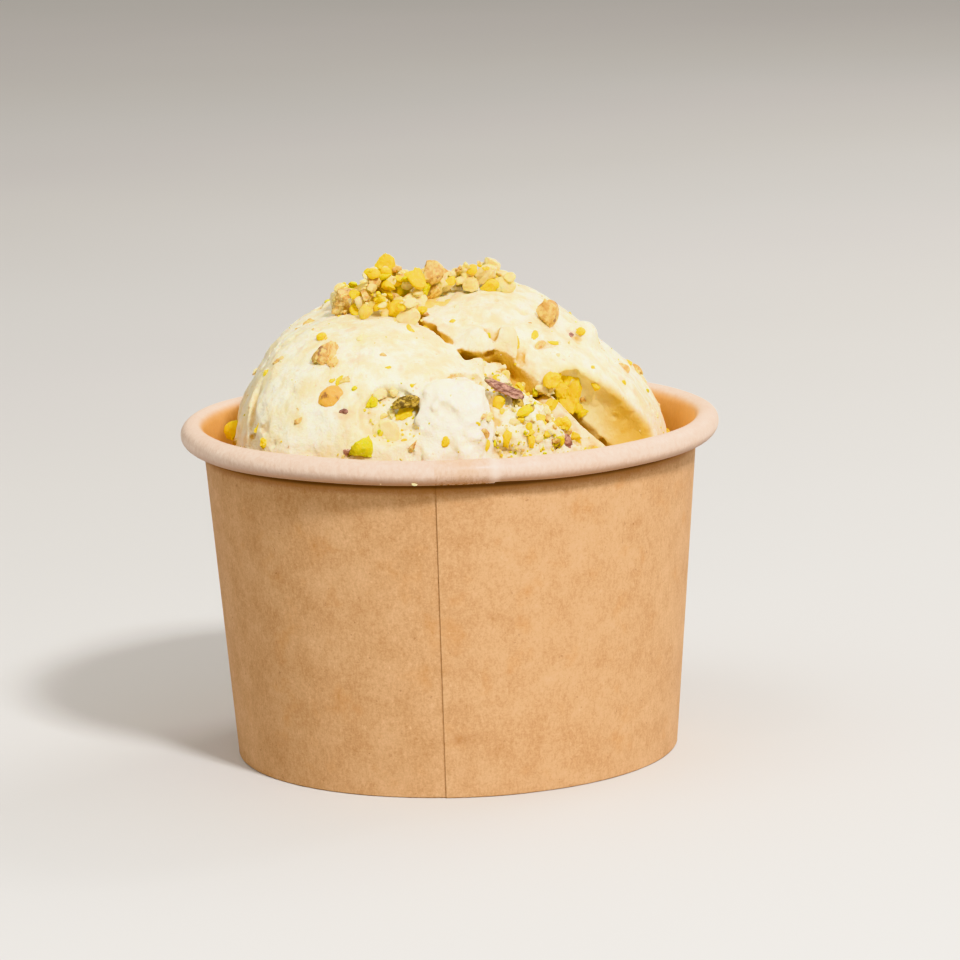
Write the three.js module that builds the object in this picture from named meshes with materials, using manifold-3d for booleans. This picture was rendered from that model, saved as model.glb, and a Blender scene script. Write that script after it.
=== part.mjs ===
// Gelato in a paper cup, smeared up into a mound and finished with chopped pistachio.
// Millimetres, +Z up. The origin is the centre of the cup's foot, on the surface it stands on.
// The cup is one conical sheet lapped at the front, with its top edge curled outward and its
// lower edge folded inward and up round the turned-down skirt of the base disc.
import * as THREE from 'three';
import { mergeVertices } from 'three/addons/utils/BufferGeometryUtils.js';
import Module from 'manifold-3d';

const wasm = await Module();
wasm.setup();

// Cup
const cupHeight = 56.5;
const rimRadius = 45;
const footRadius = 37.1;
const curlRadius = 2;
const curlEnd = -120;
const paper = 0.4;
const baseUnderside = 6;
const clearance = 0.3;
const lapStart = -92.2;
const lapEnd = -80.9;
const lapFade = 14;
const cupSections = 64;
const curlSteps = 10;

// Gelato
const moundFoot = new THREE.Vector3(0, 0, 44);
const fillLevel = 46.2;
const fillWave = 0.7;
const moundColumns = 72;
const moundRows = 24;
const easingPasses = 2;
const searchRadius = 60;
const creaseWidth = 1.2;
const creaseDepth = 1.6;
const creaseBlend = 0.5;
const creaseTail = -8;
const healedBlend = 12;

const frontLobe = { centre: [-8.8, -4, 50], radii: [26.8, 32, 25.5], fullness: 2.35 };
const frontLobeTop = { through: [2, -12, 70.8], normal: [0.56, -0.12, 0.8] };
const backLobe = { centre: [4, 6, 49], radii: [33, 29.5, 28.8], fullness: 2.1 };
const backLobeSlope = { through: [24.9, -2, 69.3], normal: [0.7, 0.02, 0.714] };
const spoonHollow = { from: [15.5, -14, 67.5], to: [31, -13, 55], fromRadius: 5.3, toRadius: 7 };
const crumbledLobe = { centre: [12, -16, 48], radii: [18, 18.5, 19], fullness: 2.2 };
const crumbledLobeTop = { through: [13.9, -24, 63.2], normal: [0.6, 0.1, 0.8] };
const spur = { centre: [0, -31.5, 54], radii: [6.2, 4.2, 14], fullness: 2.6, lean: -9 };

// Pistachio
const heaps = [
  { centre: [-4, -1, 74.6], radii: [15.5, 11.5, 5.4], bump: 0.9 },
  { centre: [-12, -1, 75.6], radii: [7, 6.5, 6.2], bump: 0.7 },
];
const nuts = [
  { name: 'nut_crown_peak', azimuth: 174, rise: 75, radii: [1.6, 1.5, 2.1], lift: 6.9 },
  { name: 'nut_crown_left', azimuth: -177, rise: 64.5, radii: [2, 2.3, 2.1], lift: 2.4 },
  { name: 'nut_gold', azimuth: -26, rise: 40, radii: [3.1, 2.4, 3.3], lift: 0.9 },
  { name: 'nut_skin_slice', azimuth: -71, rise: 34, radii: [3.7, 1.6, 1.9], lift: 0.1 },
  { name: 'nut_left_tan', azimuth: -130, rise: 41, radii: [2.4, 1.7, 2], lift: 0.3 },
  { name: 'nut_left_orange', azimuth: -122, rise: 31, radii: [2.3, 1.5, 1.6], lift: -0.8 },
  { name: 'nut_front_green', azimuth: -112, rise: 20, radii: [2, 1.4, 1.6], lift: -0.2 },
  { name: 'nut_front_brown', azimuth: -102, rise: 31.5, radii: [2.2, 1.4, 1.4], lift: -0.2 },
  { name: 'nut_right_slope', azimuth: -22, rise: 59, radii: [2.1, 1.9, 2.3], lift: 1.1 },
  { name: 'nut_by_wall', azimuth: 171, rise: 15, radii: [1.5, 2.1, 1.9], lift: 0.8 },
];
const nutDetail = 1;
const heapDetail = 4;

const kraft = new THREE.MeshStandardMaterial({ color: 0xc99a63, roughness: 0.85, metalness: 0 });
const kraftBase = new THREE.MeshStandardMaterial({ color: 0xd2a874, roughness: 0.8, metalness: 0 });
const cream = new THREE.MeshStandardMaterial({ color: 0xf6ebc8, roughness: 0.5, metalness: 0 });
const chopped = new THREE.MeshStandardMaterial({ color: 0xe0b93f, roughness: 0.7, metalness: 0 });
const nutFlesh = new THREE.MeshStandardMaterial({ color: 0xd9a93a, roughness: 0.6, metalness: 0 });

const part = new THREE.Group();

function addPiece(name, geometry, material) {
  geometry.computeVertexNormals();
  const mesh = new THREE.Mesh(geometry, material);
  mesh.name = name;
  part.add(mesh);
}

// A skin over rows of points, each row a closed loop of the same length. The rows either join
// up end to end, as round a ring, or close on a middle point below and above.
function skinRows(rows, below, above) {
  const points = rows.flat();
  const around = rows[0].length;
  const faces = [];
  const bands = below ? rows.length - 1 : rows.length;
  for (let i = 0; i < bands; i += 1) {
    const low = i * around;
    const high = ((i + 1) % rows.length) * around;
    for (let j = 0; j < around; j += 1) {
      const next = (j + 1) % around;
      faces.push(low + j, low + next, high + next);
      faces.push(low + j, high + next, high + j);
    }
  }
  if (below) {
    const bottom = points.push(below) - 1;
    const top = points.push(above) - 1;
    const last = (rows.length - 1) * around;
    for (let j = 0; j < around; j += 1) {
      const next = (j + 1) % around;
      faces.push(bottom, next, j);
      faces.push(top, last + j, last + next);
    }
  }
  const geometry = new THREE.BufferGeometry().setFromPoints(points);
  geometry.setIndex(faces);
  return geometry;
}

// Cup wall

const curlCentreRadius = rimRadius - curlRadius;
const curlCentreHeight = cupHeight - curlRadius;
const neckRadius = curlCentreRadius - curlRadius + paper;
const wallSlope = (neckRadius - footRadius) / curlCentreHeight;

function wallInside(height) {
  return footRadius - paper + wallSlope * height;
}

const skirtOutside = (height) => wallInside(height) - clearance;
const skirtInside = (height) => skirtOutside(height) - paper;
const hemOutside = (height) => skirtInside(height) - clearance;
const hemInside = (height) => hemOutside(height) - paper;
const hemTop = baseUnderside - clearance;

// How far the two faces of the wall stand out from a single sheet at an angle round the cup.
// The upper sheet's edge is at lapStart, and the lower sheet's edge, inside the cup, at lapEnd.
function lapOffsets(degrees) {
  const afterLap = THREE.MathUtils.smoothstep(degrees, lapEnd, lapEnd + lapFade);
  if (degrees < lapStart) {
    return { inside: 0, outside: 0 };
  }
  if (degrees < lapEnd) {
    return { inside: 0, outside: paper };
  }
  return { inside: paper * (1 - afterLap), outside: paper * (1 - afterLap) };
}

function wallSection(degrees) {
  const lap = lapOffsets(degrees);
  const profile = [];
  profile.push([hemInside(hemTop), hemTop]);
  profile.push([hemInside(0), 0]);
  profile.push([footRadius + lap.outside, 0]);
  for (let i = 0; i <= curlSteps; i += 1) {
    const turn = THREE.MathUtils.degToRad(180 + ((curlEnd - 180) * i) / curlSteps);
    const reach = curlRadius - paper - lap.outside;
    profile.push([curlCentreRadius + reach * Math.cos(turn), curlCentreHeight + reach * Math.sin(turn)]);
  }
  for (let i = curlSteps; i >= 0; i -= 1) {
    const turn = THREE.MathUtils.degToRad(180 + ((curlEnd - 180) * i) / curlSteps);
    const reach = curlRadius - lap.inside;
    profile.push([curlCentreRadius + reach * Math.cos(turn), curlCentreHeight + reach * Math.sin(turn)]);
  }
  profile.push([wallInside(paper) + lap.inside, paper]);
  profile.push([hemOutside(paper), paper]);
  profile.push([hemOutside(hemTop), hemTop]);
  const angle = THREE.MathUtils.degToRad(degrees);
  const place = ([radius, height]) => new THREE.Vector3(radius * Math.cos(angle), radius * Math.sin(angle), height);
  return profile.map(place);
}

const sheetEdge = 0.06;
const wallAngles = [lapStart - sheetEdge, lapStart, lapEnd - sheetEdge, lapEnd];
for (let i = 0; i < cupSections; i += 1) {
  wallAngles.push(-180 + (360 * i) / cupSections);
}
wallAngles.sort((a, b) => b - a);
addPiece('cup_wall', skinRows(wallAngles.map(wallSection)), kraft);

// Cup base: a disc drawn down into a skirt round its edge

const baseTop = baseUnderside + paper;
const skirtFoot = paper + clearance;
const baseProfile = [
  [0, baseUnderside],
  [skirtInside(baseUnderside), baseUnderside],
  [skirtInside(skirtFoot), skirtFoot],
  [skirtOutside(skirtFoot), skirtFoot],
  [skirtOutside(baseTop), baseTop],
  [0, baseTop],
];
const baseOutline = baseProfile.map(([radius, height]) => new THREE.Vector2(radius, height));

// A lathe turned about +Y, set upright and closed along its seam and on its axis.
function turned(outline, segments) {
  const lathe = new THREE.LatheGeometry(outline, segments).rotateX(Math.PI / 2);
  lathe.deleteAttribute('normal');
  lathe.deleteAttribute('uv');
  return mergeVertices(lathe, 1e-4);
}

addPiece('cup_base', solidToGeometry(toSolid(turned(baseOutline, cupSections))), kraftBase);

// Solids, for cutting one shape out of another

function toSolid(geometry) {
  const vertProperties = new Float32Array(geometry.attributes.position.array);
  const triVerts = new Uint32Array(geometry.index.array);
  return new wasm.Manifold(new wasm.Mesh({ numProp: 3, vertProperties, triVerts }));
}

function solidToGeometry(solid) {
  const mesh = solid.getMesh();
  const geometry = new THREE.BufferGeometry();
  geometry.setAttribute('position', new THREE.BufferAttribute(mesh.vertProperties, 3));
  geometry.setIndex(new THREE.BufferAttribute(mesh.triVerts, 1));
  return geometry;
}

// Gelato: a field that is negative inside the mound, built up from its lobes

function joinSoft(a, b, blend) {
  const mix = THREE.MathUtils.clamp(0.5 + (0.5 * (b - a)) / blend, 0, 1);
  return b + (a - b) * mix - blend * mix * (1 - mix);
}

const cutSoft = (a, b, blend) => -joinSoft(-a, -b, blend);

function lobeField(point, lobe) {
  const lean = new THREE.Euler(THREE.MathUtils.degToRad(-(lobe.lean ?? 0)), 0, 0);
  const local = point.clone().sub(new THREE.Vector3(...lobe.centre)).applyEuler(lean);
  const scaled = local.toArray().map((value, axis) => Math.abs(value) / lobe.radii[axis]);
  const sum = scaled.reduce((total, value) => total + value ** lobe.fullness, 0);
  const level = sum ** (1 / lobe.fullness);
  const steepness = scaled.map((value, axis) => value ** (lobe.fullness - 1) / lobe.radii[axis]);
  const slope = Math.hypot(...steepness) / Math.max(level, 1e-6) ** (lobe.fullness - 1);
  return (level - 1) / Math.max(slope, 1e-6);
}

function planeField(point, plane) {
  const normal = new THREE.Vector3(...plane.normal).normalize();
  return point.clone().sub(new THREE.Vector3(...plane.through)).dot(normal);
}

function strokeField(point, stroke) {
  const from = new THREE.Vector3(...stroke.from);
  const along = new THREE.Vector3(...stroke.to).sub(from);
  const share = THREE.MathUtils.clamp(point.clone().sub(from).dot(along) / along.lengthSq(), 0, 1);
  const radius = THREE.MathUtils.lerp(stroke.fromRadius, stroke.toRadius, share);
  return point.distanceTo(from.addScaledVector(along, share)) - radius;
}

function fillHeight(angle) {
  return fillLevel + fillWave * (Math.sin(2 * angle + 1) + 0.5 * Math.sin(5 * angle));
}

function moundField(point) {
  let front = cutSoft(lobeField(point, frontLobe), planeField(point, frontLobeTop), 7);
  let back = cutSoft(lobeField(point, backLobe), planeField(point, backLobeSlope), 7);
  back = cutSoft(back, -strokeField(point, spoonHollow), 1.5);
  const crumbled = cutSoft(lobeField(point, crumbledLobe), planeField(point, crumbledLobeTop), 3);
  front = joinSoft(front, crumbled, 2);
  const healing = THREE.MathUtils.smoothstep(point.y, creaseTail, creaseTail + 20);
  const joined = joinSoft(front, back, creaseBlend + healedBlend * healing);
  const crease = Math.max(Math.abs(front - back) * 0.6 - creaseWidth / 2, -(joined + creaseDepth * (1 - healing)));
  const creased = Math.max(joined, -crease);
  const mound = joinSoft(creased, lobeField(point, spur), 0.8);
  const radius = Math.hypot(point.x, point.y);
  const level = point.z - fillHeight(Math.atan2(point.y, point.x));
  const fill = Math.max(level, radius - wallInside(point.z) + clearance);
  return joinSoft(mound, fill, 2.5);
}

function direction(azimuth, rise) {
  const level = Math.cos(rise);
  return new THREE.Vector3(level * Math.cos(azimuth), level * Math.sin(azimuth), Math.sin(rise));
}

// The mound's surface as seen from its foot, found by coming in from outside.
function moundSurface(azimuth, rise) {
  const ray = direction(azimuth, rise);
  const at = (reach) => moundFoot.clone().addScaledVector(ray, reach);
  let outside = searchRadius;
  while (moundField(at(outside)) > 0) {
    outside -= 0.5;
  }
  let inside = outside;
  outside += 0.5;
  for (let i = 0; i < 12; i += 1) {
    const middle = (inside + outside) / 2;
    if (moundField(at(middle)) > 0) {
      outside = middle;
    } else {
      inside = middle;
    }
  }
  return inside;
}

const gelatoFloor = baseTop + clearance;
const surfaceRows = [];
const flankRows = [[], []];
for (let j = 0; j < moundColumns; j += 1) {
  const azimuth = (2 * Math.PI * j) / moundColumns;
  const height = fillHeight(azimuth);
  const radii = [wallInside(gelatoFloor) - clearance, wallInside(height) - clearance];
  [gelatoFloor, height].forEach((z, row) => {
    flankRows[row].push(new THREE.Vector3(radii[row] * Math.cos(azimuth), radii[row] * Math.sin(azimuth), z));
  });
  const lowest = Math.atan2(height - moundFoot.z, radii[1]);
  for (let i = 0; i < moundRows; i += 1) {
    surfaceRows[i] ??= [];
    const rise = lowest + ((Math.PI / 2 - lowest) * (i + 1)) / (moundRows + 1);
    surfaceRows[i].push({ ray: direction(azimuth, rise), reach: moundSurface(azimuth, rise) });
  }
}
const crownReach = moundSurface(0, Math.PI / 2);

// Ease each row's reach towards its neighbours, so that the undercut hollow has no ragged steps.
for (let pass = 0; pass < easingPasses; pass += 1) {
  const before = surfaceRows.map((row) => row.map((spot) => spot.reach));
  for (let i = 1; i < moundRows - 1; i += 1) {
    for (let j = 0; j < moundColumns; j += 1) {
      const beside = before[i][(j + 1) % moundColumns] + before[i][(j + moundColumns - 1) % moundColumns];
      const across = before[i - 1][j] + before[i + 1][j];
      surfaceRows[i][j].reach = 0.5 * before[i][j] + 0.125 * (beside + across);
    }
  }
}

// The gelato, or the same shape with its top swollen outward by a given amount.
function gelatoSolid(swell) {
  const lift = ({ ray, reach }) => moundFoot.clone().addScaledVector(ray, reach + swell);
  const rows = [...flankRows, ...surfaceRows.map((row) => row.map(lift))];
  const bottom = new THREE.Vector3(0, 0, gelatoFloor);
  const crown = new THREE.Vector3(0, 0, moundFoot.z + crownReach + swell);
  return toSolid(skinRows(rows, bottom, crown));
}

// A broken nut: a faceted lump, chipped unevenly. Its lift is how far its middle stands out of
// the gelato's surface, so that a small or negative lift is a nut pressed in.
function nutGeometry(nut, index, swell) {
  const ball = new THREE.IcosahedronGeometry(1, nutDetail);
  ball.deleteAttribute('normal');
  ball.deleteAttribute('uv');
  const lump = mergeVertices(ball, 1e-4);
  const azimuth = THREE.MathUtils.degToRad(nut.azimuth);
  const rise = THREE.MathUtils.degToRad(nut.rise);
  const seat = moundSurface(azimuth, rise) + nut.lift;
  const centre = moundFoot.clone().addScaledVector(direction(azimuth, rise), seat);
  const turn = new THREE.Euler(0, 0, azimuth + Math.PI / 2);
  const position = lump.attributes.position;
  const corner = new THREE.Vector3();
  for (let i = 0; i < position.count; i += 1) {
    corner.fromBufferAttribute(position, i);
    const chip = 0.93 + 0.07 * Math.sin(5 * corner.x + 2 * index) * Math.cos(4 * corner.z - index);
    const sides = nut.radii.map((radius) => radius * chip + swell);
    corner.multiply(new THREE.Vector3(...sides)).applyEuler(turn).add(centre);
    position.setXYZ(i, corner.x, corner.y, corner.z);
  }
  return lump;
}

// Chopped pistachio heaped on the crown, lying on the gelato

function heapSolid(heap) {
  const ball = new THREE.IcosahedronGeometry(1, heapDetail);
  ball.deleteAttribute('normal');
  ball.deleteAttribute('uv');
  const lump = mergeVertices(ball, 1e-4);
  const position = lump.attributes.position;
  const corner = new THREE.Vector3();
  for (let i = 0; i < position.count; i += 1) {
    corner.fromBufferAttribute(position, i);
    const lumps = Math.sin(11 * corner.x + 1) * Math.sin(9 * corner.y) + Math.sin(6 * corner.x - 5 * corner.y);
    const sides = heap.radii.map((radius) => radius + heap.bump * lumps);
    corner.multiply(new THREE.Vector3(...sides)).add(new THREE.Vector3(...heap.centre));
    position.setXYZ(i, corner.x, corner.y, corner.z);
  }
  return toSolid(lump);
}

let gelato = gelatoSolid(0);
let topping = heapSolid(heaps[0]).add(heapSolid(heaps[1])).subtract(gelatoSolid(clearance));
nuts.forEach((nut, index) => {
  const pocket = toSolid(nutGeometry(nut, index, clearance));
  addPiece(nut.name, nutGeometry(nut, index, 0), nutFlesh);
  gelato = gelato.subtract(pocket);
  topping = topping.subtract(pocket);
});
addPiece('gelato', solidToGeometry(gelato), cream);
addPiece('pistachio_topping', solidToGeometry(topping), chopped);

export default part;
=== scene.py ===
import math
import bmesh
import bpy
import numpy as np
from mathutils import Matrix, Vector
from mathutils.bvhtree import BVHTree


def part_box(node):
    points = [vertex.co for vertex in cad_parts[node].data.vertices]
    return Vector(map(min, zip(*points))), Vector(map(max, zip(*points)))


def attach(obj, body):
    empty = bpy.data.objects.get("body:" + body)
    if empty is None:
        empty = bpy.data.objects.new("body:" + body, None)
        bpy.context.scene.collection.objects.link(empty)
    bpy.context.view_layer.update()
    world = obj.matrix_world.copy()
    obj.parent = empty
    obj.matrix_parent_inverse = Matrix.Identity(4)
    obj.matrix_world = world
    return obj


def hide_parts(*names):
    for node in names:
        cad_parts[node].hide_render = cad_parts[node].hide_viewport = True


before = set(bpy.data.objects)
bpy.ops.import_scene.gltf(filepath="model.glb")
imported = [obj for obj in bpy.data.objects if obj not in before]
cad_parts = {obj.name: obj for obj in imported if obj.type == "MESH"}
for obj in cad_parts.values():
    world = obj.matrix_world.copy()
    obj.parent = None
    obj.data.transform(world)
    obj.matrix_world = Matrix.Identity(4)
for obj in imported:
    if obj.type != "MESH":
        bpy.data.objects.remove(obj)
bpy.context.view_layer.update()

mm = 0.001


# Camera. A long lens from a little above the rim, so that the far inside of the cup just shows
# over its near edge. It is turned slightly off the cup's axis and rolled by a hand's tilt.

eye = Vector((0.0, -0.727, 0.180))
camera_pitch = math.radians(10.51)
camera_turn = math.radians(0.384)
camera_roll = math.radians(-1.57)

sight = Vector((math.sin(camera_turn), math.cos(camera_turn), -math.tan(camera_pitch))).normalized()
level_side = Vector((math.cos(camera_turn), -math.sin(camera_turn), 0))
level_up = level_side.cross(sight)
side = level_side * math.cos(camera_roll) + level_up * math.sin(camera_roll)
up = level_up * math.cos(camera_roll) - level_side * math.sin(camera_roll)
camera = bpy.data.objects.new("camera", bpy.data.cameras.new("camera"))
camera.data.sensor_width = 36
camera.data.lens = 165.3
camera.matrix_world = Matrix((side, up, -sight)).transposed().to_4x4()
camera.location = eye
bpy.context.collection.objects.link(camera)
bpy.context.scene.camera = camera


# Studio. A pale floor, an even sky, and one soft lamp high at the front right, which throws the
# short shadow under the rim. The floor's finish needs the first node helpers.

class Wire:
    """A node's output. Arithmetic on it adds Math nodes to its tree."""

    def __init__(self, bench, socket):
        self.bench = bench
        self.socket = socket

    def math(self, operation, *values):
        return self.bench.node("ShaderNodeMath", {"operation": operation}, dict(enumerate(values)))

    def __add__(self, other):
        return self.math("ADD", self, other)

    def __sub__(self, other):
        return self.math("SUBTRACT", self, other)

    def __rsub__(self, other):
        return self.math("SUBTRACT", other, self)

    def __mul__(self, other):
        return self.math("MULTIPLY", self, other)

    __radd__ = __add__
    __rmul__ = __mul__

    def smooth(self, low, high):
        """0 below low and 1 above high, with a soft step between them."""
        limits = {"From Min": low, "From Max": high, "Value": self}
        return self.bench.node("ShaderNodeMapRange", {"interpolation_type": "SMOOTHSTEP"}, limits)

    def output(self, name):
        return Wire(self.bench, self.socket.node.outputs[name])


class Bench:
    """A node tree being wired up."""

    def __init__(self, tree):
        self.tree = tree

    def node(self, kind, settings=None, sockets=None, output=0):
        made = self.tree.nodes.new(kind)
        for name, value in (settings or {}).items():
            setattr(made, name, value)
        for name, value in (sockets or {}).items():
            if isinstance(value, Wire):
                self.tree.links.new(value.socket, made.inputs[name])
            else:
                made.inputs[name].default_value = value
        return Wire(self, made.outputs[output]) if made.outputs else None

    def blend(self, low, high, mask):
        """Colour low where the mask is 0 and colour high where it is 1."""
        return self.node("ShaderNodeMix", {"data_type": "RGBA"}, {0: mask, 6: low, 7: high}, 2)

    def grain(self, place, size, detail=2.0, roughness=0.5, kind="ShaderNodeTexNoise"):
        """Noise between 0 and 1 whose patches are about this size, in metres."""
        sockets = {"Vector": place, "Scale": 1 / size, "Detail": detail, "Roughness": roughness}
        return self.node(kind, {}, sockets)

    def stretched(self, place, scale):
        return self.node("ShaderNodeVectorMath", {"operation": "MULTIPLY"}, {0: place, 1: scale})

    def bump(self, height, distance, strength=1.0):
        sockets = {"Height": height, "Distance": distance, "Strength": strength}
        return self.node("ShaderNodeBump", {}, sockets)

    def attribute(self, name):
        """A value that the piece's own points carry."""
        return self.node("ShaderNodeAttribute", {"attribute_name": name}).output("Fac")

    def along(self, axis, place):
        """How far the place lies along X, Y or Z."""
        return self.node("ShaderNodeSeparateXYZ", {}, {"Vector": place}).output(axis)


def new_finish(name):
    """A material, its bench, and the place on the object that its patterns follow."""
    made = bpy.data.materials.new(name)
    made.use_nodes = True
    made.node_tree.nodes.clear()
    bench = Bench(made.node_tree)
    return made, bench, bench.node("ShaderNodeTexCoord").output("Object")


def set_surface(bench, sockets):
    shader = bench.node("ShaderNodeBsdfPrincipled", {}, sockets)
    bench.node("ShaderNodeOutputMaterial", {}, {"Surface": shader})


def rgb(red, green, blue):
    """A colour given as it looks, 0 to 255, as the shaders' linear values."""
    linear = [((v / 255 + 0.055) / 1.055) ** 2.4 if v > 10 else v / 3294.6 for v in (red, green, blue)]
    return (*linear, 1.0)


def new_object(name, mesh, *finishes):
    made = bpy.data.objects.new(name, mesh)
    for finish in finishes:
        mesh.materials.append(finish)
    bpy.context.collection.objects.link(made)
    return made


def shade_round(mesh, degrees):
    """Smooth shading, kept sharp where two faces meet at more than this angle."""
    mesh.polygons.foreach_set("use_smooth", [True] * len(mesh.polygons))
    mesh.set_sharp_from_angle(angle=math.radians(degrees))


floor_finish, bench, place = new_finish("floor_paint")
floor_tone = bench.grain(place, 0.4, 3.0)
set_surface(bench, {
    "Base Color": bench.blend(rgb(204, 203, 202), rgb(214, 213, 212), floor_tone),
    "Roughness": 0.75,
})
floor_reach = 6.0
floor_mesh = bpy.data.meshes.new("floor")
floor_drop = 0.05 * mm
corners = [(x * floor_reach, y * floor_reach, -floor_drop) for x, y in ((-1, -1), (1, -1), (1, 1), (-1, 1))]
floor_mesh.from_pydata(corners, [], [(0, 1, 2, 3)])
floor = new_object("floor", floor_mesh, floor_finish)

sky = bpy.data.worlds.new("sky")
sky.use_nodes = True
sky.node_tree.nodes.clear()
sky_bench = Bench(sky.node_tree)
upward = sky_bench.node("ShaderNodeTexCoord").output("Generated")
upward = sky_bench.along("Z", upward).smooth(-0.1, 0.7)
sky_tone = (1.0, 0.93, 0.84, 1.0)
glow = sky_bench.node("ShaderNodeBackground", {}, {"Color": sky_tone, "Strength": 0.12 + 0.52 * upward})
sky_bench.node("ShaderNodeOutputWorld", {}, {"Surface": glow})
bpy.context.scene.world = sky
bpy.context.scene.view_settings.view_transform = "Khronos PBR Neutral"


lamp_target = Vector((0, 0, 0.04))


def add_lamp(name, position, width, power, colour):
    lamp = bpy.data.objects.new(name, bpy.data.lights.new(name, "AREA"))
    lamp.data.size = width
    lamp.data.energy = power
    lamp.data.color = colour
    lamp.location = position
    aim = lamp_target - Vector(position)
    lamp.rotation_euler = aim.to_track_quat("-Z", "Y").to_euler()
    bpy.context.collection.objects.link(lamp)


add_lamp("front_lamp", (0.42, -0.74, 0.84), 0.16, 11.8, (0.97, 0.99, 1.0))
add_lamp("left_fill", (-0.62, -0.35, 1.25), 0.8, 3.6, (1.0, 0.98, 0.94))
add_lamp("back_lamp", (0.75, 0.70, 0.80), 0.60, 5.0, (1.0, 0.98, 0.95))


# Cup wall. One sheet of brown board, clear-coated inside, wound into a cone and lapped at the
# front. Its top edge is rolled outward into the rim, which shows the coated side, and its lower
# edge is folded in and up round the base's skirt.

rim_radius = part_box("cup_wall")[1][0] / mm
cup_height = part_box("cup_wall")[1][2] / mm
foot_radius = 37.1
curl_radius = 2.0
paper = 0.4
lap_start = -93.4
lap_end = -80.9
lap_fade = 14.0
hem_height = 5.7
fold_gap = 0.3

curl_centre = (rim_radius - curl_radius, cup_height - curl_radius)
neck_radius = curl_centre[0] - curl_radius + paper
wall_slope = (neck_radius - foot_radius) / curl_centre[1]


def wall_inside(height):
    """The radius of the wall's inner face at a height."""
    return foot_radius - paper + wall_slope * height


def soft_step(value, low, high):
    share = np.clip((value - low) / (high - low), 0, 1)
    return share * share * (3 - 2 * share)


# how far the board stands out over the lap, how much of that the rim's curl follows, and the
# rounding of the folded foot and of the hem inside it
lap_step = 0.22
curl_step_share = 0.8
foot_round = 0.15
hem_round = 0.12


def lap_offsets(degrees):
    """How far the inner and outer faces stand out from those of a single sheet."""
    if degrees < lap_start:
        return 0.0, 0.0
    if degrees < lap_end:
        return 0.0, lap_step
    fading = lap_step * (1 - soft_step(degrees, lap_end, lap_end + lap_fade))
    return fading, fading


def curled(reach, turns, coated):
    """Points round the middle of the rolled edge, this far out from it."""
    across, up = curl_centre
    return [(across + reach * math.cos(t), up + reach * math.sin(t), coated) for t in turns]


def wall_profile(degrees):
    """One section through the wall: radius, height and whether the coated side shows there."""
    inner, outer = lap_offsets(degrees)
    hem_out = wall_inside(0) - 2 * fold_gap - paper
    heights = np.linspace(0, curl_centre[1], 15)[1:-1]
    turns = np.radians(np.linspace(180, -140, 33))
    points = [(hem_out - paper + wall_slope * hem_height, hem_height, 0)]
    points += [(hem_out - paper, hem_round, 0), (hem_out - paper + hem_round, 0.0, 0)]
    points += [(foot_radius + outer - foot_round, 0.0, 0), (foot_radius + outer, foot_round, 0)]
    points += [(foot_radius + outer + wall_slope * z, z, 0) for z in heights]
    points += curled(curl_radius - paper - outer, turns, 0)
    points += curled(curl_radius - curl_step_share * inner, turns[::-1], 1)
    points += [(wall_inside(z) + inner, z, 1) for z in heights[::-1]]
    points += [(wall_inside(paper) + inner, paper, 1), (hem_out, paper, 1)]
    points += [(hem_out + wall_slope * hem_height, hem_height, 1)]
    return points


def wall_drift(angle, height):
    """The small unevenness of a hand-filled paper cup: radius and height, in millimetres."""
    share = height / cup_height
    radius = share * (0.10 * math.sin(3 * angle + 0.6) + 0.06 * math.sin(7 * angle))
    radius += 0.05 * math.sin(2 * angle)
    lift = share ** 6 * (0.10 * math.sin(2 * angle + 1.0) + 0.06 * math.sin(9 * angle + 2.0))
    return radius, lift


def ring_mesh(name, rows, slots):
    """A closed ring over sections that each go round a closed profile."""
    sections, around = rows.shape[:2]
    index = np.arange(sections * around).reshape(sections, around)
    ahead = np.roll(index, -1, axis=0)
    quads = np.stack([index, ahead, np.roll(ahead, -1, axis=1), np.roll(index, -1, axis=1)], axis=-1)
    mesh = bpy.data.meshes.new(name)
    mesh.from_pydata(rows.reshape(-1, 3).tolist(), [], quads.reshape(-1, 4).tolist())
    mesh.polygons.foreach_set("material_index", np.tile(slots, sections))
    mesh.update()
    return mesh


# degrees either side of a lap's edge at which extra sections stand, and how wide the edges look
sheet_edge = 0.04
rim_edge = 0.2
edge_angles = [edge + away for edge in (lap_start, lap_end) for away in (-0.16, -sheet_edge, 0.0, 0.12)]
wall_angles = sorted([*np.arange(-180, 180, 1.5), *edge_angles])
wall_rows = []
for degrees in wall_angles:
    angle = math.radians(degrees)
    row = []
    for radius, height, coated in wall_profile(degrees):
        drift, lift = wall_drift(angle, height)
        row.append(((radius + drift) * math.cos(angle), (radius + drift) * math.sin(angle), height + lift))
    wall_rows.append(row)
coated_side = np.array([coated for _, _, coated in wall_profile(0)])
wall_mesh = ring_mesh("cup_wall_paper", np.array(wall_rows) * mm, coated_side)
# marks at the laps' cut edges: on the brown side a dark line, partly the raw edge's own darker fibre and
# partly painted shadow of the step; on the coated rim a painted highlight where the edge catches the light
lap_edge_shade_and_glint_marks = np.zeros((len(wall_angles), len(coated_side)))
lap_marks = np.zeros_like(lap_edge_shade_and_glint_marks)
for row, degrees in enumerate(wall_angles):
    if abs(degrees - lap_start) <= sheet_edge:
        lap_edge_shade_and_glint_marks[row, coated_side == 0] = 1.0
    if abs(degrees - lap_end) < rim_edge:
        lap_edge_shade_and_glint_marks[row, coated_side == 1] = 1.0
    if lap_start < degrees < lap_end - rim_edge:
        lap_marks[row, coated_side == 1] = 1.0
wall_mesh.attributes.new("lap_edge_shade_and_glint", "FLOAT", "POINT").data.foreach_set("value", lap_edge_shade_and_glint_marks.ravel())
wall_mesh.attributes.new("lap", "FLOAT", "POINT").data.foreach_set("value", lap_marks.ravel())

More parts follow.
